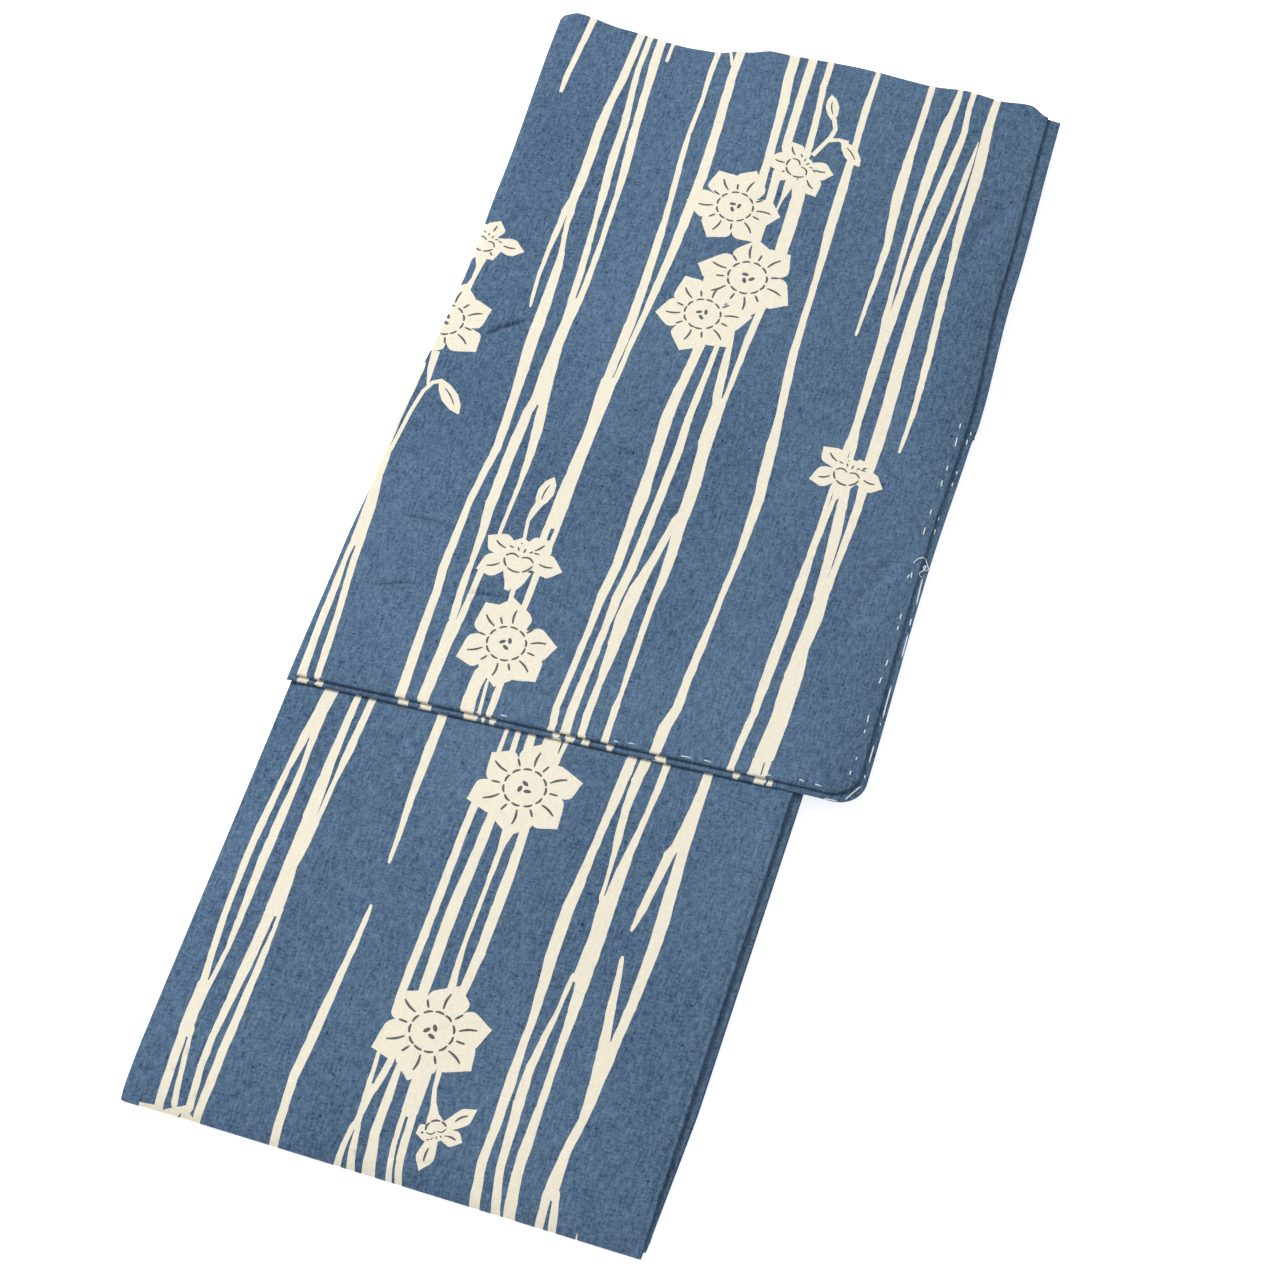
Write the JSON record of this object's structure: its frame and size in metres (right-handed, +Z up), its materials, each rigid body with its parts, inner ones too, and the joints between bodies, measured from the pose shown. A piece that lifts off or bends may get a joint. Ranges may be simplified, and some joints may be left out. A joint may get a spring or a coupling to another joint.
{
  "type": "cotton yukata robe, folded flat",
  "caption": "Cotton yukata robe folded flat: a long body strip folded across its middle with both sleeves laid over its upper half, resting on a flat underside.",
  "frame": {"origin": "on the floor below the middle of the bounding box", "axes": "+Y along the folded strip towards the shoulders, +X across it towards the cuffs, +Z up"},
  "size_m": [0.337, 0.8098, 0.0168],
  "materials": {
    "sleeve_cloth": "indigo cotton, cream narcissus and wavy stripe print, matt",
    "body_cloth": "indigo cotton, cream narcissus and wavy stripe print, matt",
    "folded_cloth": "indigo cotton, matt",
    "basting_thread": "white cotton thread"
  },
  "bodies": {
    "root": {"left_sleeve": "sleeve_cloth", "right_sleeve": "sleeve_cloth", "left_back": "body_cloth", "right_back": "body_cloth", "hidden_layers": "folded_cloth"}
  },
  "joints": []
}
